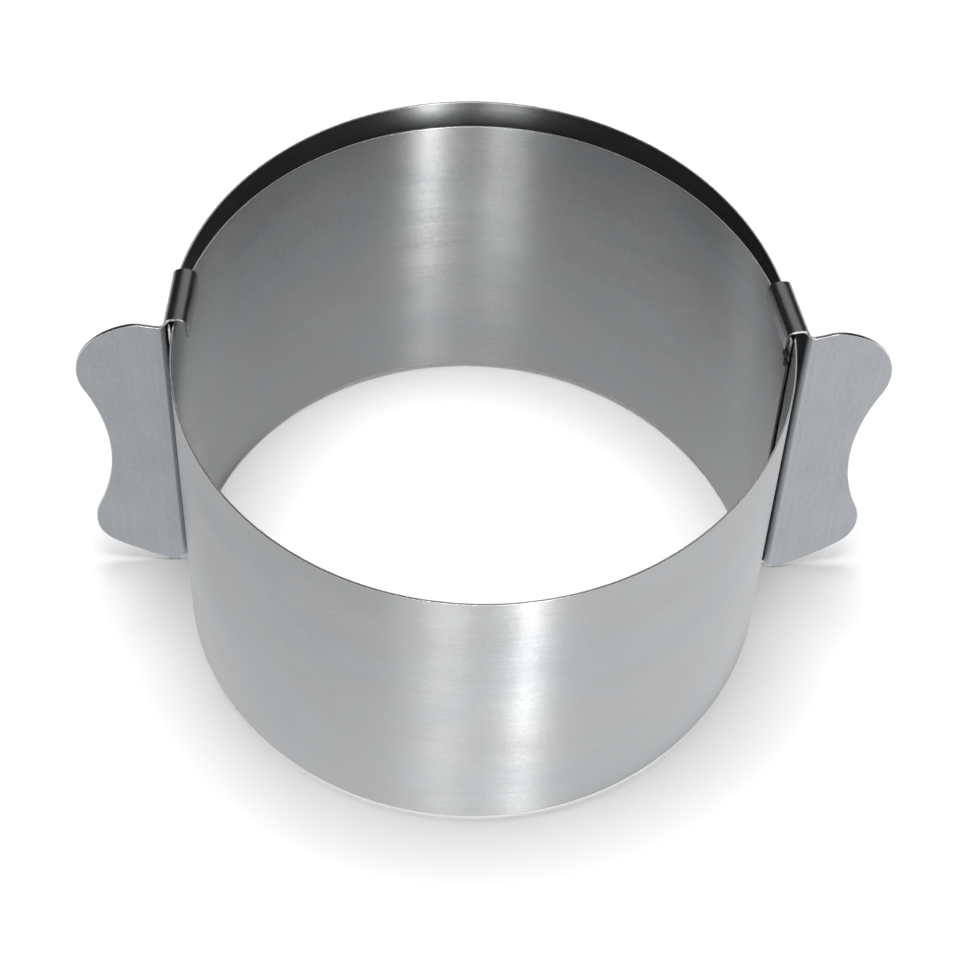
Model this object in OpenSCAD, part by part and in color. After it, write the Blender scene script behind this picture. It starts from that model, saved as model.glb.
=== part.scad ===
// Adjustable ring mould: one springy steel strip rolled into a ring of about one and a half
// turns, with a winged handle at each end. Each handle is fixed to its own end of the strip and
// has a rolled channel at the top and the bottom, through which the other layer slides.
// Z is up. X runs from the left handle to the right handle, and Y from the front to the back.

/* [Ring] */
// Mean radius of the ring as it is set here, at the middle of the strip's thickness
ring_r = 66; // [62:0.5:72]
// Height of the strip
strip_h = 85; // [60:1:120]
// Thickness of the strip
strip_t = 0.45; // [0.3:0.05:0.6]
// How far the strip winds round from end to end, in degrees
strip_turn = 536; // [500:1:560]
// How far the outer layer stands off the inner layer at the back
back_gap = 7; // [4:0.5:8]

/* [Handles] */
// Thickness of the handles' sheet
sheet_t = 0.7; // [0.5:0.1:1]
// Length of the rolled channels along the ring
clip_len = 15.5; // [10:0.5:17]
// Free play of the two layers in a channel
clip_play = 2.6; // [2.4:0.1:3]
// Inner radius of the channels' rounded corners, and the room over the strip's edges
clip_bend_r = 0.8; // [0.5:0.1:1]
// How far a channel's lip reaches down over the strip
lip_h = 4; // [2:0.5:8]
// Inner radius of the fold between wing and flange
fold_r = 0.5; // [0.3:0.1:1]
// Reach of a wing at its lobes
wing_w = 20.7; // [16:0.1:30]
// Reach of a wing at its waist
waist_w = 15.4; // [10:0.1:16]
// Radius of a wing's lobes
lobe_r = 16.4; // [10:0.1:20]
// How far the lobes rise above the strip's edge
lobe_rise = 1.1; // [0:0.1:1.4]

/* [Bending] */
// Rigid pieces that stand for each third of the springy strip
wall_pieces = 11; // [9:2:15]
// Gap at each bending line between two pieces
bend_gap = 0.05; // [0.04:0.01:0.1]

/* [Hidden] */
WALLS = ["inner_wall", "front_wall", "outer_wall"];
$fn = 64;

steel = [0.66, 0.67, 0.69];
handle_steel = [0.60, 0.62, 0.66];

// The strip is a chain of equal arcs that meet without a corner. Its curvature swings once
// in a turn, which carries the second turn backwards by back_gap, and drops slowly from the
// inner end to the outer end, which keeps the layers side by side.
pieces = len(WALLS) * wall_pieces;
middle = (pieces - 1) / 2;
piece_len = ring_r * strip_turn * PI / 180 / pieces;
swing = back_gap / (PI * ring_r);
swing_lead = 2 * swing * 180 / PI;
// The layers sit this much nearer to each other than the middle of their play, and a clip's
// middle lies this far behind the ring's widest place
clip_bias = clip_play / 20;
clip_mid = (540 - strip_turn) / 2 + clip_len / 2 / ring_r * 180 / PI;
turn_growth = strip_t + clip_play / 2 - clip_bias - back_gap * sin(clip_mid);
drop = turn_growth / (2 * PI * ring_r) * PI / 180;

function from_middle(i) = (i - middle) * strip_turn / pieces;
function curvature(i) =
    (1 - swing * sin(from_middle(i) + swing_lead) - drop * from_middle(i)) / ring_r;
function arc_r(i) = 1 / curvature(i);
function arc_turn(i) = piece_len * curvature(i) * 180 / PI;
function sum(list) = len(list) == 0 ? 0 : list * [for (x = list) 1];

// Polar angle at which each arc starts about its own centre. The middle arc faces the front.
first_angle = -90 - arc_turn(middle) / 2 - sum([for (i = [0:middle - 1]) arc_turn(i)]);
angles = [for (i = 0, a = first_angle; i <= pieces; a = a + arc_turn(i), i = i + 1) a];
function out(a) = [cos(a), sin(a)];
function step(i) = (arc_r(i) - arc_r(i + 1)) * out(angles[i + 1]);
chain = [for (i = 0, c = [0, 0]; i < pieces; c = c + step(i), i = i + 1) c];

// Rolled channels
channel_w = 2 * strip_t + clip_play;
strip_z = clip_bend_r + sheet_t;
mid_z = strip_z + strip_h / 2;
left_flange_r = arc_r(pieces - 1) + strip_t / 2;
right_flange_r = arc_r(0) - strip_t / 2 + channel_w;
fold_l = fold_r + sheet_t;

// Wing: two round lobes, and between them a waist whose arc touches both
lobe_centre = [wing_w - lobe_r, strip_h / 2 + lobe_rise - lobe_r];
waist_in = waist_w - lobe_centre.x;
waist_r = (waist_in * waist_in + lobe_centre.y * lobe_centre.y - lobe_r * lobe_r)
    / (2 * (lobe_r - waist_in));
waist_centre = [waist_w + waist_r, 0];
touch = atan2(lobe_centre.y, waist_centre.x - lobe_centre.x);
touch_point = lobe_centre + lobe_r * out(-touch);

// The wings' outer corners and the strip give the middle of the whole ring
function wing_angle(flange_r, end_angle, side) = end_angle + side * fold_l / flange_r * 180 / PI;
function wing_tip(c, flange_r, a, side, depth) =
    c + (flange_r + wing_w) * out(a) - side * depth * out(a + 90);
right_angle = wing_angle(right_flange_r, angles[0], 1);
left_angle = wing_angle(left_flange_r, angles[pieces], -1);
tips_x = [for (depth = [fold_r, fold_l]) each [
    wing_tip(chain[0], right_flange_r, right_angle, 1, depth).x,
    wing_tip(chain[pieces - 1], left_flange_r, left_angle, -1, depth).x
]];
samples = 16;
strip_y = [for (i = [0:pieces - 1]) for (k = [0:samples])
    (chain[i] + (arc_r(i) + strip_t / 2) * out(angles[i] + arc_turn(i) * k / samples)).y];
centre = [(min(tips_x) + max(tips_x)) / 2, (min(strip_y) + max(strip_y)) / 2];

module place(i) {
    translate([chain[i].x - centre.x, chain[i].y - centre.y, 0])
        children();
}

// One rigid piece of the strip, which ends half a gap before each bending line
module strip_piece(i) {
    half_gap = bend_gap / 2 / arc_r(i) * 180 / PI;
    start_gap = i == 0 ? 0 : half_gap;
    end_gap = i == pieces - 1 ? 0 : half_gap;
    color(steel)
    place(i)
    rotate(angles[i] + start_gap)
    rotate_extrude(angle = arc_turn(i) - start_gap - end_gap)
    translate([arc_r(i) - strip_t / 2, strip_z])
        square([strip_t, strip_h]);
}

// A quarter of a bent sheet, in the first quadrant
module bent_corner(inner_r) {
    intersection() {
        difference() {
            circle(inner_r + sheet_t);
            circle(inner_r);
        }
        square(inner_r + sheet_t);
    }
}

// Upper half of the flange and of the channel that it carries, with the flange at X = 0
module half_section() {
    square([sheet_t, strip_h / 2]);
    translate([-clip_bend_r, strip_h / 2])
        bent_corner(clip_bend_r);
    translate([clip_bend_r - channel_w, strip_h / 2 + clip_bend_r])
        square([channel_w - 2 * clip_bend_r, sheet_t]);
    translate([clip_bend_r - channel_w, strip_h / 2])
    mirror([1, 0])
        bent_corner(clip_bend_r);
    translate([-channel_w - sheet_t, strip_h / 2 - lip_h])
        square([sheet_t, lip_h]);
}

module flange_and_channels(flange_r) {
    start = fold_l / flange_r * 180 / PI;
    rotate(start)
    rotate_extrude(angle = clip_len / flange_r * 180 / PI - start)
    translate([flange_r, 0]) {
        half_section();
        mirror([0, 1])
            half_section();
    }
}

// Half of the wing's outline, from the waist up. Its edge leaves the fold at 45 degrees.
module half_wing() {
    intersection() {
        union() {
            translate(lobe_centre)
                circle(lobe_r);
            difference() {
                polygon([[fold_l, 0], [fold_l, lobe_centre.y], lobe_centre,
                    touch_point, [touch_point.x, 0]]);
                translate(waist_centre)
                    circle(waist_r);
            }
        }
        polygon([[fold_l, 0], [fold_l, strip_h / 2], [wing_w, strip_h / 2 + wing_w - fold_l],
            [2 * wing_w, 0]]);
    }
}

// The fold turns the flange outwards into the wing
module folded_wing(flange_r) {
    rotate(fold_l / flange_r * 180 / PI)
    translate([flange_r, 0]) {
        translate([fold_l, 0, -strip_h / 2])
        rotate(180)
        linear_extrude(strip_h)
            bent_corner(fold_r);
        translate([0, -fold_r, 0])
        rotate([90, 0, 0])
        linear_extrude(sheet_t) {
            half_wing();
            mirror([0, 1])
                half_wing();
        }
    }
}

// One stamping: wing, fold, flange and channels. The strip's end is at angle 0.
module handle(flange_r) {
    color(handle_steel)
    union() {
        folded_wing(flange_r);
        flange_and_channels(flange_r);
    }
}

module right_handle() {
    place(0)
    translate([0, 0, mid_z])
    rotate(angles[0])
        handle(right_flange_r);
}

module left_handle() {
    place(pieces - 1)
    translate([0, 0, mid_z])
    rotate(angles[pieces])
    mirror([0, 1, 0])
        handle(left_flange_r);
}

for (w = [0:len(WALLS) - 1])
    for (i = [1:wall_pieces])
        strip_piece(w * wall_pieces + i - 1);
left_handle();
right_handle();
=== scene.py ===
import math

import bmesh
import bpy
from mathutils import Matrix, Vector, noise


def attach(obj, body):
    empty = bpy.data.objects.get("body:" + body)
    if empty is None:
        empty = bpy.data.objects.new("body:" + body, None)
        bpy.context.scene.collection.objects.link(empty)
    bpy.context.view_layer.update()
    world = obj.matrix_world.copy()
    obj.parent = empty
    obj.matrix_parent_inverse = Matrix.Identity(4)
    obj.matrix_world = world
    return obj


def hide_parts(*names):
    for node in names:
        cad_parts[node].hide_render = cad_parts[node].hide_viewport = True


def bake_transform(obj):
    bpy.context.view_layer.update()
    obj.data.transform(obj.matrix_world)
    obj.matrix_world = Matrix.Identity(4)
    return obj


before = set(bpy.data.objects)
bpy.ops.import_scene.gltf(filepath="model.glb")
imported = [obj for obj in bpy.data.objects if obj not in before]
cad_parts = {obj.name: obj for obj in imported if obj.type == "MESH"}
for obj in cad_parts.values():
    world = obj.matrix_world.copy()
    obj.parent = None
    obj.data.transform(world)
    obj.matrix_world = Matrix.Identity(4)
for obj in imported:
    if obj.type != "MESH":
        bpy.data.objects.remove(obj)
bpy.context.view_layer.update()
MM = 0.001

# Ring and strip, as in the CAD model
RING_R = 66.0  # mean radius, at the middle of the strip's thickness
STRIP_H = 85.0
STRIP_T = 0.45
STRIP_TURN = 536.0  # degrees from the inner end to the outer end
BACK_GAP = 7.0  # how far the outer layer stands off the inner layer at the back
WALL_PIECES = 11  # rigid pieces that stand for each third of the strip

# Handles, as in the CAD model
SHEET_T = 0.7
CLIP_LEN = 15.5  # length of the rolled channels, the clips, along the ring
CLIP_PLAY = 2.6  # free play of the two layers in a clip
CLIP_BEND_R = 0.8  # room over the strip's edges
LIP_H = 4.0  # how far a clip's lip reaches down over the strip
FOLD_R = 0.5
WING_W = 20.7  # reach of a wing at its lobes
WAIST_W = 15.4  # reach of a wing at its waist
LOBE_R = 16.4
LOBE_RISE = 1.1  # how far the lobes rise above the strip's edge

WALLS = ["inner_wall", "front_wall", "outer_wall"]
BODIES = [f"{wall}_{i + 1}" for wall in WALLS for i in range(WALL_PIECES)]
PIECES = len(BODIES)
MIDDLE = (PIECES - 1) // 2
PIECE_LEN = math.radians(RING_R * STRIP_TURN) / PIECES
STRIP_LEN = PIECE_LEN * PIECES
CHANNEL_W = 2 * STRIP_T + CLIP_PLAY
STRIP_Z = CLIP_BEND_R + SHEET_T
MID_Z = STRIP_Z + STRIP_H / 2
FOLD_L = FOLD_R + SHEET_T

# The strip is a chain of arcs, as in the CAD model. Its curvature swings once in a turn, which
# opens the gap at the back, and drops slowly from the inner end to the outer end.
SWING = BACK_GAP / (math.pi * RING_R)
SWING_LEAD = 2 * SWING
ONE_AND_A_HALF_TURNS = 540  # degrees
CLIP_MID = math.radians((ONE_AND_A_HALF_TURNS - STRIP_TURN) / 2) + CLIP_LEN / 2 / RING_R
CLIP_BIAS = CLIP_PLAY / 20  # the layers sit this much nearer than the middle of their play
TURN_GROWTH = STRIP_T + CLIP_PLAY / 2 - CLIP_BIAS - BACK_GAP * math.sin(CLIP_MID)
DROP = TURN_GROWTH / (2 * math.pi * RING_R)


def curvature(i):
    u = math.radians((i - MIDDLE) * STRIP_TURN / PIECES)
    return (1 - SWING * math.sin(u + SWING_LEAD) - DROP * u) / RING_R


def out(a):
    return Vector((math.cos(a), math.sin(a), 0))


def up(z):
    return Vector((0, 0, z))


ARC_R = [1 / curvature(i) for i in range(PIECES)]
ARC_TURN = [PIECE_LEN / r for r in ARC_R]
ANGLES = [-math.pi / 2 - ARC_TURN[MIDDLE] / 2 - sum(ARC_TURN[:MIDDLE])]
for turn in ARC_TURN:
    ANGLES.append(ANGLES[-1] + turn)
CHAIN = [Vector((0, 0, 0))]
for i in range(PIECES - 1):
    CHAIN.append(CHAIN[-1] + (ARC_R[i] - ARC_R[i + 1]) * out(ANGLES[i + 1]))
LEFT_R = ARC_R[-1] + STRIP_T / 2
RIGHT_R = ARC_R[0] - STRIP_T / 2 + CHANNEL_W
CENTRE_SAMPLES = 16


def find_centre():
    """The middle of the whole ring, between the wings' outer corners and across the strip."""
    xs, ys = [], []
    for centre, r, a, side in (
        (CHAIN[0], RIGHT_R, ANGLES[0], 1),
        (CHAIN[-1], LEFT_R, ANGLES[-1], -1),
    ):
        a += side * FOLD_L / r
        for depth in (FOLD_R, FOLD_L):
            xs.append((centre + (r + WING_W) * out(a) - side * depth * out(a + math.pi / 2)).x)
    for i in range(PIECES):
        for k in range(CENTRE_SAMPLES + 1):
            a = ANGLES[i] + ARC_TURN[i] * k / CENTRE_SAMPLES
            ys.append((CHAIN[i] + (ARC_R[i] + STRIP_T / 2) * out(a)).y)
    return Vector(((min(xs) + max(xs)) / 2, (min(ys) + max(ys)) / 2, 0))


CENTRE = find_centre()


def on_strip(s):
    """The middle of the strip's thickness at a length s along it, and the way outwards there."""
    i = min(max(int(s / PIECE_LEN), 0), PIECES - 1)
    a = ANGLES[i] + (s - i * PIECE_LEN) / ARC_R[i]
    return CHAIN[i] + ARC_R[i] * out(a) - CENTRE, out(a)


# Materials
# The UV map, along and across the brushing, in millimetres except on the dark beads
GRAIN = "grain"
MIX_FACTOR, MIX_A, MIX_B, MIX_RESULT = 0, 6, 7, 2  # a colour mix node's sockets


class Tree:
    """Short calls that build a node tree."""

    def __init__(self, owner):
        owner.use_nodes = True
        self.tree = owner.node_tree
        self.tree.nodes.clear()

    def put(self, node, key, value):
        """Link a socket to an input, or set the input's value. The key is a name or a number."""
        if isinstance(value, bpy.types.NodeSocket):
            self.tree.links.new(value, node.inputs[key])
        else:
            node.inputs[key].default_value = value

    def add(self, kind, *ordered, **named):
        node = self.tree.nodes.new(kind)
        for key, value in enumerate(ordered):
            self.put(node, key, value)
        for key, value in named.items():
            self.put(node, key.replace("_", " "), value)
        return node

    def math(self, what, a, b, clamp=False):
        node = self.add("ShaderNodeMath", a, b)
        node.operation = what
        node.use_clamp = clamp
        return node.outputs[0]

    def plus(self, a, b, clamp=False):
        return self.math("ADD", a, b, clamp)

    def times(self, a, b):
        return self.math("MULTIPLY", a, b)

    def noise(self, vector, stretch, detail, rough):
        """Noise in coordinates that are scaled along each axis."""
        place = self.add("ShaderNodeMapping", Vector=vector, Scale=stretch).outputs[0]
        kind = "ShaderNodeTexNoise"
        node = self.add(kind, Vector=place, Scale=1.0, Detail=detail, Roughness=rough)
        return node.outputs["Fac"]

    def ramp(self, value, low, high, to_low=0.0, to_high=1.0):
        node = self.add("ShaderNodeMapRange", value, low, high, to_low, to_high)
        node.clamp = True
        return node.outputs[0]

    def mix(self, factor, a, b, blend="MIX"):
        node = self.tree.nodes.new("ShaderNodeMix")
        node.data_type = "RGBA"
        node.blend_type = blend
        for key, value in ((MIX_FACTOR, factor), (MIX_A, a), (MIX_B, b)):
            self.put(node, key, value)
        return node.outputs[MIX_RESULT]


# Each noise of the brushed steel: its scale along the grain, across it and in the third
# direction, which isn't used, then its detail and roughness
FINE_LINES = (0.05, 9.0, 1), 4.0, 0.6
BROAD_LINES = (0.012, 1.3, 1), 3.0, 0.55
DASHES = (0.3, 8.0, 1), 3.0, 0.6
CLOUDS = (0.05, 0.09, 1), 4.0, 0.6
MOTTLE = (0.9, 1.2, 1), 4.0, 0.8
STAINS = (0.03, 0.045, 1), 5.0, 0.65
FINE_SHARE, BROAD_SHARE, DASH_SHARE = 0.45, 0.25, 0.3
CLOUD_SHARE, MOTTLE_SHARE = 0.45, 0.55
# the part of each noise's range that is spread over its whole effect
CLOUD_RANGE, MOTTLE_RANGE = (0.3, 0.7), (0.34, 0.66)
LINE_RANGE, STAIN_RANGE = (0.35, 0.65), (0.35, 0.65)
LINE_ROUGH_RANGE, MARK_ROUGH_RANGE = (0.3, 0.7), (0.2, 0.8)
COOL_STAIN, WARM_STAIN = (0.965, 0.99, 1.0, 1), (1.0, 0.985, 0.975, 1)
LINE_ROUGHNESS, MARK_ROUGHNESS = 0.03, 0.035  # how far lines and marks change the roughness
RELIEF_STRENGTH, RELIEF_DEPTH = 0.2, 0.00002  # the depth is in metres
QUARTER_TURN = 0.25


def brushed(name, dark, light, roughness, anisotropic, lines, marks):
    """Brushed stainless steel: fine lines along the grain, and soft cloudy marks over them."""
    material = bpy.data.materials.new(name)
    b = Tree(material)
    uv = b.add("ShaderNodeUVMap")
    uv.uv_map = GRAIN
    grain = uv.outputs["UV"]
    fine, broad = b.noise(grain, *FINE_LINES), b.noise(grain, *BROAD_LINES)
    line = b.plus(b.times(fine, FINE_SHARE), b.times(broad, BROAD_SHARE))
    line = b.plus(line, b.times(b.noise(grain, *DASHES), DASH_SHARE))
    mark = b.plus(
        b.ramp(b.noise(grain, *CLOUDS), *CLOUD_RANGE, 0, CLOUD_SHARE),
        b.ramp(b.noise(grain, *MOTTLE), *MOTTLE_RANGE, 0, MOTTLE_SHARE),
    )
    line_shade = b.times(b.ramp(line, *LINE_RANGE), lines)
    shade = b.plus(line_shade, b.times(mark, marks), clamp=True)
    # faint cool and warm stains, as wiping and handling leave them
    stain = b.ramp(b.noise(grain, *STAINS), *STAIN_RANGE)
    hue = b.mix(stain, COOL_STAIN, WARM_STAIN)
    colour = b.mix(1.0, b.mix(shade, (*dark, 1), (*light, 1)), hue, "MULTIPLY")
    rough = b.plus(
        b.ramp(line, *LINE_ROUGH_RANGE, roughness - LINE_ROUGHNESS, roughness + LINE_ROUGHNESS),
        b.ramp(mark, *MARK_ROUGH_RANGE, -MARK_ROUGHNESS, MARK_ROUGHNESS),
    )
    relief = b.add("ShaderNodeBump", Strength=RELIEF_STRENGTH, Distance=RELIEF_DEPTH, Height=line)
    tangent = b.add("ShaderNodeTangent")
    tangent.direction_type = "UV_MAP"
    tangent.uv_map = GRAIN
    steel = b.add(
        "ShaderNodeBsdfPrincipled",
        Base_Color=colour,
        Metallic=1.0,
        Roughness=rough,
        Anisotropic=anisotropic,
        Anisotropic_Rotation=QUARTER_TURN,
        Normal=relief.outputs[0],
        Tangent=tangent.outputs[0],
    )
    b.add("ShaderNodeOutputMaterial", Surface=steel.outputs[0])
    return material


BAND = brushed(
    "band_steel",
    dark=(0.425, 0.434, 0.444),
    light=(0.655, 0.663, 0.671),
    roughness=0.335,
    anisotropic=1.0,
    lines=0.45,
    marks=0.55,
)
HANDLE = brushed(
    "wing_steel",
    dark=(0.255, 0.267, 0.287),
    light=(0.425, 0.438, 0.457),
    roughness=0.34,
    anisotropic=0.3,
    lines=0.4,
    marks=0.6,
)
# A lighter copy of the wing's steel: painted light on the right handle's fold.
LIGHTENED_FOLD = brushed(
    "fold_painted_light",
    dark=(0.32, 0.335, 0.35),
    light=(0.46, 0.475, 0.49),
    roughness=0.42,
    anisotropic=0.3,
    lines=0.4,
    marks=0.6,
)
# Lighter steel for cut edges: partly the cut edges' own brighter steel, partly a painted
# highlight.
EDGE_AND_HIGHLIGHT = brushed(
    "cut_edge_and_highlight",
    dark=(0.56, 0.56, 0.56),
    light=(0.82, 0.82, 0.81),
    roughness=0.26,
    anisotropic=0.0,
    lines=0.4,
    marks=0.6,
)
# Darker steel on the wings' cut faces: painted shade, which dims their highlight.
WING_EDGE_SHADE = brushed(
    "wing_edge_shade",
    dark=(0.2, 0.2, 0.21),
    light=(0.42, 0.42, 0.42),
    roughness=0.3,
    anisotropic=0.0,
    lines=0.5,
    marks=0.6,
)
# Near-black steel for the beads below the right lip's end.
DARK_BEAD_STEEL = brushed(
    "near_black_bead",
    dark=(0.03, 0.03, 0.03),
    light=(0.13, 0.125, 0.12),
    roughness=0.6,
    anisotropic=0.0,
    lines=0.3,
    marks=0.85,
)

# Meshes
SMOOTH_BELOW = 35  # degrees


def mesh(name, points, faces, uvs, smooth_below=SMOOTH_BELOW):
    me = bpy.data.meshes.new(name)
    me.from_pydata([p * MM for p in points], [], faces)
    layer = me.uv_layers.new(name=GRAIN)
    for loop in me.loops:
        layer.uv[loop.index].vector = uvs[loop.vertex_index]
    me.polygons.foreach_set("use_smooth", [True] * len(me.polygons))
    me.set_sharp_from_angle(angle=math.radians(smooth_below))
    me.validate()
    return linked(name, me)


def linked(name, data):
    obj = bpy.data.objects.new(name, data)
    bpy.context.scene.collection.objects.link(obj)
    return obj


# The strip
EDGE_R = 0.13  # rounding of all cut edges
EDGE_STEPS = 3
STRIP_STEP = math.radians(0.25) * RING_R  # a quarter of a degree along the ring
INNER_SHIFT = 200  # moves the inner face's grain away from the outer face's
RIM_DEPTH = 0.2  # the cut edge's lighter steel, partly a painted highlight, reaches this far down from an edge
LEVEL = 0.9  # a face counts as level where its normal's upward part is at least this


def rounded_section():
    """The strip's cut section, as offsets outwards from its middle and heights."""
    x, low, high = STRIP_T / 2 - EDGE_R, STRIP_Z + EDGE_R, STRIP_Z + STRIP_H - EDGE_R
    section = []
    for corner_x, corner_z, start in ((x, high, 0), (-x, high, 90), (-x, low, 180), (x, low, 270)):
        for k in range(EDGE_STEPS + 1):
            a = math.radians(start + 90 * k / EDGE_STEPS)
            section.append((corner_x + EDGE_R * math.cos(a), corner_z + EDGE_R * math.sin(a)))
    return section


def strip_piece(name, s0, s1):
    section = rounded_section()
    n = max(2, round((s1 - s0) / STRIP_STEP))
    points, uvs, faces = [], [], []
    for k in range(n + 1):
        s = s0 + (s1 - s0) * k / n
        p, outward = on_strip(s)
        for d, z in section:
            points.append(p + d * outward + up(z))
            uvs.append((s, z + (INNER_SHIFT if d < 0 else 0)))
    m = len(section)
    for k in range(n):
        for j in range(m):
            a, b = k * m + j, k * m + (j + 1) % m
            faces.append((a, a + m, b + m, b))
    faces.append(tuple(range(m)))
    faces.append(tuple(n * m + j for j in reversed(range(m))))
    piece = mesh(name, points, faces, uvs)
    piece.data.materials.append(BAND)
    piece.data.materials.append(EDGE_AND_HIGHLIGHT)
    mark_rims(piece.data)
    return piece


def mark_rims(me):
    """The strip's narrow top and bottom edges take the cut edge's lighter steel, which is partly a
    painted highlight.
    """
    low, high = (STRIP_Z + RIM_DEPTH) * MM, (STRIP_Z + STRIP_H - RIM_DEPTH) * MM
    for face in me.polygons:
        if abs(face.normal.z) >= LEVEL or not low < face.center.z < high:
            face.material_index = 1


def make_strip():
    """Each piece over a bending line keeps its place, baked in, and rides on no body; each of the
    two end pieces rides on one body."""
    borders = [0] + [PIECE_LEN * (i + 0.5) for i in range(PIECES)] + [STRIP_LEN]
    for i in range(PIECES + 1):
        s0, s1 = borders[i], borders[i + 1]
        piece = strip_piece(f"band_{i + 1}", s0, s1)
        if 0 < i < PIECES:
            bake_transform(piece)
        else:
            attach(piece, BODIES[min(i, PIECES - 1)])
        if i < PIECES:
            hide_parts(BODIES[i])


make_strip()

# The handles' clips, which are straight here and have a round roof
SLACK = 0.45  # a straight clip is this much wider than the curved layers need
CLIP_W = CHANNEL_W + SLACK + SHEET_T  # from the middle of the flange's sheet to the lip's
SPRING_DROP = 0.6  # how far below the strip's edge the roof springs
SPRING_Z = STRIP_H / 2 - SPRING_DROP
ROOF_H = 1.75
ROOF_POWER = 2.3  # the roof's section is a superellipse of this power
FLANGE_STEPS, ROOF_STEPS, LIP_STEPS, CLIP_COLUMNS = 60, 24, 8, 34
ROOF_STEP = math.pi / ROOF_STEPS
CORNER_R = 2.0  # of the lips' back corners

# The fold between flange and wing takes the first steps of the roof along
FOLD_MID_R = 1.15  # at the middle of the sheet
FOLD_STEPS = 12
FOLD_ROOF_STEPS = 2
FOLD_ROWS = FLANGE_STEPS + FOLD_ROOF_STEPS
SEAT_ROUNDS = 4
WING_PLANE = -FOLD_R - SHEET_T / 2

# The wing's outline
LOBE_X, LOBE_Z = WING_W - LOBE_R, STRIP_H / 2 + LOBE_RISE - LOBE_R
DIP_X = LOBE_X + 4.0  # the upper edge dips towards the fold from here
DIP_Z = SPRING_Z + ROOF_H * math.sin(FOLD_ROOF_STEPS * ROOF_STEP) ** (2 / ROOF_POWER)
LOW_FROM = 2.5  # from here outwards the lower edge is straighter than the upper one
LOW_LIFT = 2.6  # by at most this much
LOW_SKEW = 1.3
LOW_FOOT = 1.2  # width over which the lower edge leaves the fold
OUTLINE_STEP = 0.35
LOBE_STEPS, DIP_STEPS = 60, 16

# A handle's material slots: a sheet's cut edge takes the slot after that of its face, darker steel
# as painted shade on the wing and lighter steel, partly a painted highlight, elsewhere
WING_SLOT, CLIP_SLOT, FOLD_SLOT = 0, 2, 4
EDGE_SLOT = CLIP_SLOT + 1
CUT_EDGE_TURN = 60  # degrees: edges that turn by more are cut edges
SPLIT_FROM = 5  # faces with this many corners or more are split into triangles


def clip_line():
    """The sheet's middle line from the flange's middle up, over the roof and down the lip, as
    the offset outwards from the flange's inner face, the height and the length so far."""
    flange_x = SHEET_T / 2
    half = CLIP_W / 2
    line = [(flange_x, 0.0, 0.0)]

    def go(x, z):
        length = line[-1][2] + math.hypot(x - line[-1][0], z - line[-1][1])
        line.append((x, z, length))

    for k in range(1, FLANGE_STEPS + 1):
        go(flange_x, SPRING_Z * k / FLANGE_STEPS)
    for k in range(1, ROOF_STEPS + 1):
        a = ROOF_STEP * k
        x = abs(math.cos(a)) ** (2 / ROOF_POWER) * math.copysign(1, math.cos(a))
        go(flange_x - half + half * x, SPRING_Z + ROOF_H * math.sin(a) ** (2 / ROOF_POWER))
    for k in range(1, LIP_STEPS + 1):
        go(flange_x - 2 * half, SPRING_Z - (LIP_H - SPRING_DROP) * k / LIP_STEPS)
    return line


def ease(u):
    return u * u * (3 - 2 * u)


def lobe_top(x):
    return LOBE_Z + math.sqrt(LOBE_R**2 - (x - LOBE_X) ** 2)


def straighter(x):
    """How much higher than a round lobe's the wing's lower edge runs."""
    t = (x - LOW_FROM) / (WING_W - LOW_FROM)
    return LOW_LIFT * math.sin(math.pi * t**LOW_SKEW) if 0 < t < 1 else 0.0


def arc(x, z, r, angles):
    return [(x + r * math.cos(a), z + r * math.sin(a)) for a in angles]


def wing_outline(x0):
    """The wing's edge from the fold's top round both lobes to the fold's bottom, as (x, z)."""
    waist_in = WAIST_W - LOBE_X
    waist_r = (waist_in**2 + LOBE_Z**2 - LOBE_R**2) / (2 * (LOBE_R - waist_in))
    waist_x = WAIST_W + waist_r
    touch = math.atan2(LOBE_Z, waist_x - LOBE_X)
    dip = math.acos((DIP_X - LOBE_X) / LOBE_R)
    lobe = arc(LOBE_X, LOBE_Z, LOBE_R, [dip * (1 - j / LOBE_STEPS) for j in range(LOBE_STEPS + 1)])
    n = round(LOBE_R * touch / OUTLINE_STEP)
    side = arc(LOBE_X, LOBE_Z, LOBE_R, [-touch * j / n for j in range(1, n + 1)])
    n = round(waist_r * touch / OUTLINE_STEP)
    waist = arc(waist_x, 0, waist_r, [math.pi - touch * (1 - j / n) for j in range(1, n + 1)])
    # the upper edge dips towards the fold, and the lower edge runs on to it
    upper, lower = [], []
    for k in range(1, DIP_STEPS):
        x = x0 + (DIP_X - x0) * k / DIP_STEPS
        upper.append((x, DIP_Z + (lobe_top(x) - DIP_Z) * ease(k / DIP_STEPS)))
        foot = ease(min(1.0, (x - x0) / LOW_FOOT))
        lower.append((x, -DIP_Z - (lobe_top(x) - DIP_Z) * foot + straighter(x)))
    lower += [(x, straighter(x) - z) for x, z in lobe]
    lower += [(x, -z) for x, z in side + waist[:-1]]
    return upper + lobe + side + waist + lower[::-1]


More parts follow.
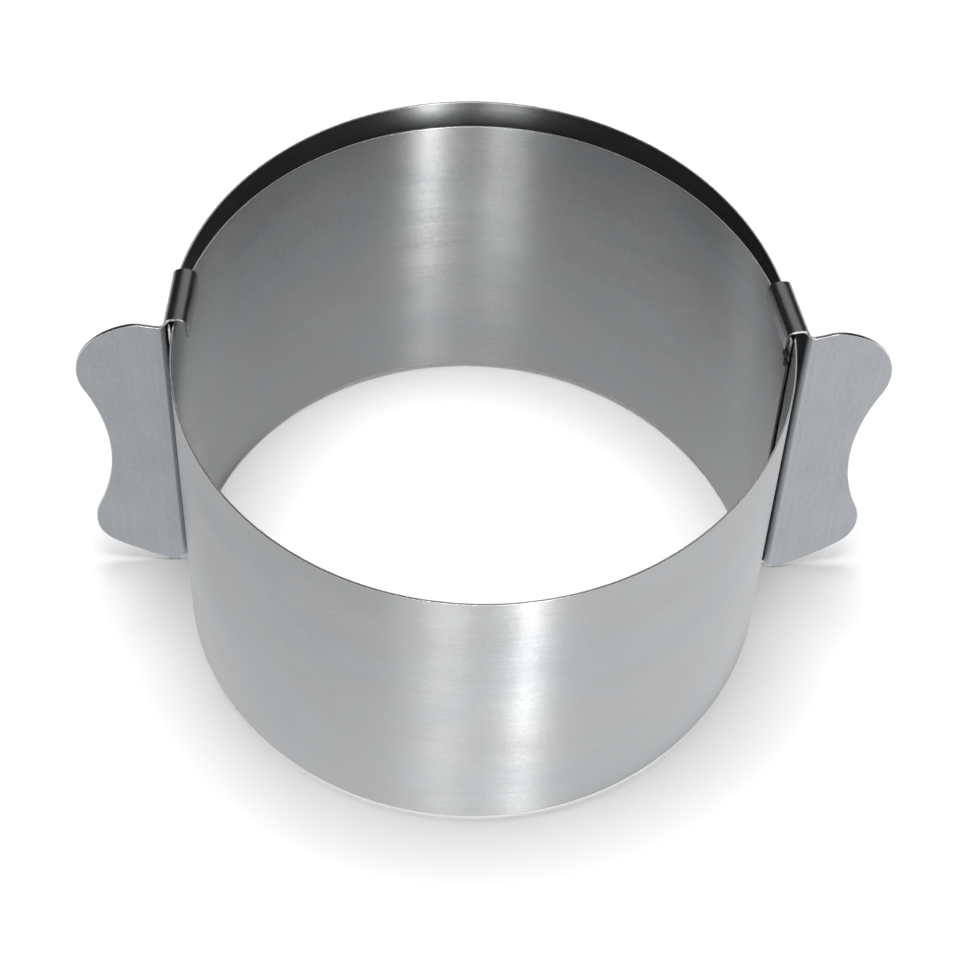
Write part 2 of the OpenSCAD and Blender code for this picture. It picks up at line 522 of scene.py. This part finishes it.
class Seat:
    """Where a handle sits: the wing's plane at the fold, and the clips along the tangent at
    their middle. Side is 1 at the right and -1 at the left."""

    def __init__(self, centre, flange_r, angle, side):
        wing_angle = angle + side * FOLD_L / flange_r
        clip_angle = angle + side * (FOLD_L + CLIP_LEN) / 2 / flange_r
        self.along = out(wing_angle)
        self.across = out(wing_angle + math.pi / 2) * side
        self.outward = out(clip_angle)
        self.back = out(clip_angle + math.pi / 2) * side
        self.base = centre + flange_r * self.along
        self.middle = centre + flange_r * self.outward
        self.end = (CLIP_LEN - FOLD_L) / 2
        self.start = -self.end
        lean = self.end / flange_r
        self.turn = math.pi / 2 - lean
        # the flange starts where the fold brings the sheet into the wing's plane
        for _ in range(SEAT_ROUNDS):
            miss = WING_PLANE - (self.on_fold(self.turn) - self.base).dot(self.across)
            self.start += miss / math.cos(lean)

    def on_fold(self, a):
        """A point of the fold's middle line, from the flange's front end at a = 0."""
        p = self.middle + SHEET_T / 2 * self.outward + self.start * self.back
        bulge = FOLD_MID_R * (1 - math.cos(a)) * self.outward
        return p - FOLD_MID_R * math.sin(a) * self.back + bulge


class Sheet:
    """A sheet's middle surface, and the grain's place at each of its points."""

    def __init__(self):
        self.bm = bmesh.new()
        self.layer = self.bm.loops.layers.uv.new(GRAIN)
        self.grain = {}

    def vert(self, p, along, height):
        v = self.bm.verts.new((p + up(MID_Z)) * MM)
        self.grain[v] = (height, along)
        return v

    def join(self, row, following, slot):
        """Quads between two rows of points."""
        for j in range(len(row) - 1):
            face = self.bm.faces.new((row[j], following[j], following[j + 1], row[j + 1]))
            face.material_index = slot

    def to_object(self, name):
        for face in self.bm.faces:
            for loop in face.loops:
                loop[self.layer].uv = self.grain[loop.vert]
        bmesh.ops.recalc_face_normals(self.bm, faces=self.bm.faces)
        me = bpy.data.meshes.new(name)
        self.bm.to_mesh(me)
        self.bm.free()
        me.polygons.foreach_set("use_smooth", [True] * len(me.polygons))
        return linked(name, me)


def add_flange_and_clips(sheet, seat, line):
    """The flange with both clips. Returns its front column of points, at the fold."""
    column = None
    for k in range(CLIP_COLUMNS + 1):
        following = []
        for x, z, length in line:
            rest = line[-1][2] - abs(length)
            cut = CORNER_R - math.sqrt(CORNER_R**2 - max(0.0, CORNER_R - rest) ** 2)
            s = (seat.end - cut) + (seat.start - seat.end + cut) * k / CLIP_COLUMNS
            p = seat.middle + x * seat.outward + s * seat.back + up(z)
            following.append(sheet.vert(p, s, length))
        if column:
            sheet.join(column, following, CLIP_SLOT)
        column = following
    return column


def add_fold(sheet, seat, column, heights):
    """The fold. Returns its last column of points, in the wing's plane."""
    for k in range(1, FOLD_STEPS + 1):
        a = seat.turn * k / FOLD_STEPS
        p = seat.on_fold(a)
        following = [sheet.vert(p + up(z), seat.start - FOLD_MID_R * a, z) for z in heights]
        sheet.join(column, following, FOLD_SLOT)
        column = following
    return column


def add_wing(sheet, seat, column):
    x0 = (seat.on_fold(seat.turn) - seat.base).dot(seat.along)
    u0 = seat.start - FOLD_MID_R * seat.turn
    rim = []
    for x, z in wing_outline(x0):
        p = seat.base + x * seat.along + WING_PLANE * seat.across + up(z)
        rim.append(sheet.vert(p, u0 + x0 - x, z))
    sheet.bm.faces.new(column + rim).material_index = WING_SLOT


def thicken(obj):
    """Give a middle surface its sheet's thickness, and round off its cut edges."""
    solid = obj.modifiers.new("sheet", "SOLIDIFY")
    solid.thickness = SHEET_T * MM
    solid.offset = 0
    solid.material_offset_rim = 1
    cut_edge_and_highlight = obj.modifiers.new("cut_edge_and_highlight", "BEVEL")
    cut_edge_and_highlight.width = EDGE_R * MM
    cut_edge_and_highlight.segments = EDGE_STEPS
    cut_edge_and_highlight.limit_method = "ANGLE"
    cut_edge_and_highlight.angle_limit = math.radians(CUT_EDGE_TURN)
    # the rounded edges take the lighter cut-edge steel, partly a painted highlight
    cut_edge_and_highlight.material = EDGE_SLOT
    cut_edge_and_highlight.harden_normals = True
    flat = obj.modifiers.new("faces", "TRIANGULATE")
    flat.min_vertices = SPLIT_FROM
    flat.keep_custom_normals = True


def handle(name, seat, fold_steel, body):
    """One stamping: wing, fold, flange and clips."""
    upper = clip_line()
    line = [(x, -z, -length) for x, z, length in reversed(upper[1:])] + upper
    middle = len(line) // 2
    low, high = middle - FOLD_ROWS, middle + FOLD_ROWS + 1
    sheet = Sheet()
    column = add_flange_and_clips(sheet, seat, line)
    heights = [z for x, z, length in line[low:high]]
    column = add_fold(sheet, seat, column[low:high], heights)
    add_wing(sheet, seat, column)
    obj = sheet.to_object(name)
    # the wing's cut faces take darker steel, painted shade; the other cut edges take lighter
    # steel, partly a painted highlight; the fold takes fold_steel, painted light on the right
    for material in (HANDLE, WING_EDGE_SHADE, HANDLE, EDGE_AND_HIGHLIGHT, fold_steel, EDGE_AND_HIGHLIGHT):
        obj.data.materials.append(material)
    thicken(obj)
    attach(obj, body)
    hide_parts(name.replace("_wing", "_handle"))


# Spot welds, and near-black beads below the right lip
LUMP_SMOOTH_BELOW = 80  # degrees
SPOT_PROFILE = ((0.0, 0.02), (0.45, 0.025), (0.8, 0.06), (1.05, 0.09), (1.25, 0.06), (1.4, -0.05))
SPOT_SIDES = 32
SPOT_BACK = 2.0  # how far behind the clips' middle the spots lie
LEFT_SPOTS = (-27.0, -9.0, 9.0, 27.0)  # heights from the strip's middle
LIP_SPOT_Z = SPRING_Z - 1.6  # a little below where the roof springs
LIP_SPOTS = (-LIP_SPOT_Z, LIP_SPOT_Z)
BEAD_ROWS, BEAD_SIDES = 14, 20
BEAD_LUMPS, BEAD_UNEVEN, BEAD_SEED = 2.1, 0.5, 7
LIP_END_Z = MID_Z + SPRING_Z - LIP_H + SPRING_DROP
# the place along the strip, the depth below the lip's end, and the half sizes along, out and up
BEADS = (
    (0.6, 0.9, (0.9, 0.5, 1.2)),
    (1.7, 2.4, (1.2, 0.5, 1.1)),
    (0.7, 3.9, (1.0, 0.5, 1.5)),
)


def lump(name, points, faces, uvs, steel, body):
    obj = mesh(name, points, faces, uvs, LUMP_SMOOTH_BELOW)
    obj.data.materials.append(steel)
    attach(obj, body)


def spot_weld(name, at, normal, body):
    """The shallow dish with a low rim that a spot welder's tip leaves."""
    side = normal.cross(up(1))
    points, uvs = [at + SPOT_PROFILE[0][1] * normal], [(0.0, 0.0)]
    for r, h in SPOT_PROFILE[1:]:
        for k in range(SPOT_SIDES):
            a = math.tau * k / SPOT_SIDES
            points.append(at + h * normal + r * math.cos(a) * side + up(r * math.sin(a)))
            uvs.append((r * math.sin(a), r * math.cos(a)))
    faces = [(0, 1 + k, 1 + (k + 1) % SPOT_SIDES) for k in range(SPOT_SIDES)]
    for ring in range(len(SPOT_PROFILE) - 2):
        first = 1 + ring * SPOT_SIDES
        for k in range(SPOT_SIDES):
            a, b = first + k, first + (k + 1) % SPOT_SIDES
            faces.append((a, a + SPOT_SIDES, b + SPOT_SIDES, b))
    lump(name, points, faces, uvs, HANDLE, body)


def spot_welds(name, seat, offset, normal, heights, body):
    for n, z in enumerate(heights):
        at = seat.middle + offset * seat.outward + SPOT_BACK * seat.back + up(MID_Z + z)
        spot_weld(f"{name}_spot_{n + 1}", at, normal, body)


def dark_bead(name, s, z, size, body):
    """An irregular near-black bead on the strip's inner face."""
    p, outward = on_strip(s)
    at = p - STRIP_T / 2 * outward + up(z)
    along = outward.cross(up(1))
    length, depth, height = size
    points, uvs, faces = [], [], []
    for j in range(BEAD_ROWS + 1):
        t = math.pi * j / BEAD_ROWS
        for k in range(BEAD_SIDES if 0 < j < BEAD_ROWS else 1):
            a = math.tau * k / BEAD_SIDES
            d = Vector((math.sin(t) * math.cos(a), math.sin(t) * math.sin(a), math.cos(t)))
            d *= 1 + BEAD_UNEVEN * noise.noise(BEAD_LUMPS * d + Vector((s, z, BEAD_SEED)))
            points.append(at + length * d.x * along - depth * d.y * outward + up(height * d.z))
            uvs.append((a, t))

    def corner(j, k):
        if j == 0:
            return 0
        if j == BEAD_ROWS:
            return len(points) - 1
        return 1 + (j - 1) * BEAD_SIDES + k % BEAD_SIDES

    for j in range(BEAD_ROWS):
        for k in range(BEAD_SIDES):
            face = (corner(j, k), corner(j + 1, k), corner(j + 1, k + 1), corner(j, k + 1))
            faces.append(tuple(dict.fromkeys(face)))
    lump(name, points, faces, uvs, DARK_BEAD_STEEL, body)


INNER_END, OUTER_END = BODIES[0], BODIES[-1]
right_seat = Seat(CHAIN[0] - CENTRE, RIGHT_R, ANGLES[0], 1)
# The right handle's fold takes the lighter steel, as painted light.
handle("right_wing", right_seat, LIGHTENED_FOLD, INNER_END)
spot_welds("right_wing", right_seat, -CLIP_W, -right_seat.outward, LIP_SPOTS, INNER_END)
left_seat = Seat(CHAIN[-1] - CENTRE, LEFT_R, ANGLES[-1], -1)
handle("left_wing", left_seat, HANDLE, OUTER_END)
spot_welds("left_wing", left_seat, SHEET_T, left_seat.outward, LEFT_SPOTS, OUTER_END)
for n, (s, down, size) in enumerate(BEADS):
    dark_bead(f"right_bead_{n + 1}", s, LIP_END_Z - down, size, INNER_END)

# Camera
FOCAL_PX = 2739.0  # focal length, in pixels of the photo
FRAME_PX = 959.0  # width of the photo
SENSOR = 36.0
PITCH, YAW, ROLL = 53.982, 9.227, 2.689  # degrees
CAMERA_AT = Vector((-59.04, -360.43, 536.67))
CLIP_NEAR, CLIP_FAR = 0.01, 20  # metres


def aim(pitch, yaw, roll):
    """The camera's right, up and backward directions."""
    p, y, r = (math.radians(v) for v in (pitch, yaw, roll))
    forward = Vector((math.sin(y) * math.cos(p), math.cos(y) * math.cos(p), -math.sin(p)))
    right = Vector((math.cos(y), -math.sin(y), 0))
    above = right.cross(forward)
    return (
        math.cos(r) * right + math.sin(r) * above,
        math.cos(r) * above - math.sin(r) * right,
        -forward,
    )


def make_camera():
    lens = bpy.data.cameras.new("camera")
    lens.sensor_fit = "HORIZONTAL"
    lens.sensor_width = SENSOR
    lens.lens = FOCAL_PX * SENSOR / FRAME_PX
    lens.clip_start, lens.clip_end = CLIP_NEAR, CLIP_FAR
    camera = linked("camera", lens)
    place = Matrix(aim(PITCH, YAW, ROLL)).transposed().to_4x4()
    place.translation = CAMERA_AT * MM
    camera.matrix_world = place
    bpy.context.scene.camera = camera


make_camera()

# Floor
FLOOR_REACH, FLOOR_Z = 4000, -0.02
WHITE = (1, 1, 1, 1)
FLOOR_COLOUR = (0.8, 0.8, 0.8, 1)
# Its shading, by the distance from the ring's middle and by X and Y, all in metres
PLAIN_AWAY, PLAIN_LIFT = (0.15, 0.4), (0.1, 1.0)  # far away the floor turns into plain white
TABLE_AWAY, TABLE_LIGHT = (0.066, 0.07), (0.6, 1.1)
TABLE_X, SIDE_LIGHT = (-0.15, 0.15), (0.88, 1.14)
GAP_INNER, GAP_OUTER, GAP_Y = (0.0625, 0.064), (0.076, 0.08), (0.02, 0.03)


def floor_material():
    material = bpy.data.materials.new("floor_white")
    b = Tree(material)
    rays = b.add("ShaderNodeLightPath")
    at = b.add("ShaderNodeNewGeometry").outputs["Position"]
    length = b.add("ShaderNodeVectorMath", at)
    length.operation = "LENGTH"
    away = length.outputs["Value"]
    matt = b.add("ShaderNodeBsdfDiffuse", Color=FLOOR_COLOUR)
    lift = b.times(rays.outputs["Is Camera Ray"], b.ramp(away, *PLAIN_AWAY, *PLAIN_LIFT))
    glow = b.add("ShaderNodeEmission", Color=WHITE, Strength=lift)
    seen = b.add("ShaderNodeAddShader", matt.outputs[0], glow.outputs[0])
    # in the steel the table shows bright round the ring, with painted shade where the ring shades
    # it, and a painted dark band between the two layers at the back
    axes = b.add("ShaderNodeSeparateXYZ", Vector=at)
    table = b.times(
        b.ramp(away, *TABLE_AWAY, *TABLE_LIGHT),
        b.ramp(axes.outputs["X"], *TABLE_X, *SIDE_LIGHT),
    )
    # painted shade: the table in the steel goes dark between the two layers at the back
    gap = b.times(b.ramp(away, *GAP_INNER), b.ramp(away, *GAP_OUTER, 1.0, 0.0))
    gap = b.times(gap, b.ramp(axes.outputs["Y"], *GAP_Y))
    table = b.times(table, b.math("SUBTRACT", 1.0, gap))
    shown = b.add("ShaderNodeEmission", Color=WHITE, Strength=table)
    glossy = rays.outputs["Is Glossy Ray"]
    both = b.add("ShaderNodeMixShader", glossy, seen.outputs[0], shown.outputs[0])
    b.add("ShaderNodeOutputMaterial", Surface=both.outputs[0])
    return material


def make_floor():
    corners = ((-1, -1), (1, -1), (1, 1), (-1, 1))
    points = [Vector((x * FLOOR_REACH, y * FLOOR_REACH, FLOOR_Z)) for x, y in corners]
    floor = mesh("floor", points, [(0, 1, 2, 3)], [(0, 0)] * 4)
    floor.data.materials.append(floor_material())


make_floor()

# World: the sky's strength, its strength in the steel, and what the camera sees on top of it
SKY, SKY_IN_STEEL, SKY_CAMERA_EXTRA = 0.15, 0.03, 0.85


def make_world():
    world = bpy.data.worlds.new("studio")
    bpy.context.scene.world = world
    b = Tree(world)
    rays = b.add("ShaderNodeLightPath")
    strength = b.plus(
        b.times(rays.outputs["Is Camera Ray"], SKY_CAMERA_EXTRA),
        b.ramp(rays.outputs["Is Glossy Ray"], 0, 1, SKY, SKY_IN_STEEL),
    )
    sky = b.add("ShaderNodeBackground", Color=WHITE, Strength=strength)
    b.add("ShaderNodeOutputWorld", Surface=sky.outputs[0])


make_world()

# Lamps, in metres, and in degrees from the X axis. The powers are radiances. The overhead lamp
# lights only the floor, and the others show only in the steel.
ORIGIN = (0, 0, 0)
TOP_AT, TOP_SIZE, TOP_POWER = (-0.03, 0.02, 1.5), (0.75, 0.75), 15.1
BACK_AT, BACK_SIZE, BACK_POWER = (0.3, 0.8, 1.1), (1.0, 0.4), 0.8
BACK_COLOUR, STREAK_COLOUR = (1.0, 0.97, 0.93), (1.0, 0.99, 0.97)
STREAK_AWAY = 1.2
# the upper streaks end low enough to leave the gap between the two layers dark
UPPER, LOWER = (0.4, 1.45), (0.03, 0.2)
UPPER_STREAKS = ((-109, 0.06, 12.7), (-102, 0.06, 16.5), (-91, 0.03, 6.6), (-80, 0.08, 38.5))
LOWER_STREAKS = ((-117, 0.05, 5), (-106, 0.03, 5), (-82, 0.06, 13))


def lamp(name, at, towards, size, power, colour=(1, 1, 1)):
    """A softbox of a width and a height that faces a point."""
    width, height = size
    light = bpy.data.lights.new(name, "AREA")
    light.shape = "RECTANGLE"
    light.size, light.size_y = width, height
    light.energy = power * math.pi * width * height
    light.color = colour
    obj = linked(name, light)
    at = Vector(at)
    facing = (at - Vector(towards)).to_track_quat("Z", "Y").to_matrix().to_4x4()
    obj.matrix_world = Matrix.Translation(at) @ facing
    return obj


def streaks(prefix, rows, low, high):
    """Upright strip lights, each given by its direction, width and power."""
    middle = (low + high) / 2
    for azimuth, width, power in rows:
        a = math.radians(azimuth)
        at = (STREAK_AWAY * math.cos(a), STREAK_AWAY * math.sin(a), middle)
        size = (width, high - low)
        strip = lamp(f"{prefix}{azimuth}", at, (0, 0, middle), size, power, STREAK_COLOUR)
        strip.visible_diffuse = False


top = lamp("top", TOP_AT, ORIGIN, TOP_SIZE, TOP_POWER)
top.visible_glossy = False
back = lamp("back", BACK_AT, ORIGIN, BACK_SIZE, BACK_POWER, BACK_COLOUR)
back.visible_diffuse = False
streaks("streak", UPPER_STREAKS, *UPPER)
streaks("low_streak", LOWER_STREAKS, *LOWER)

bpy.context.scene.view_settings.view_transform = "Standard"
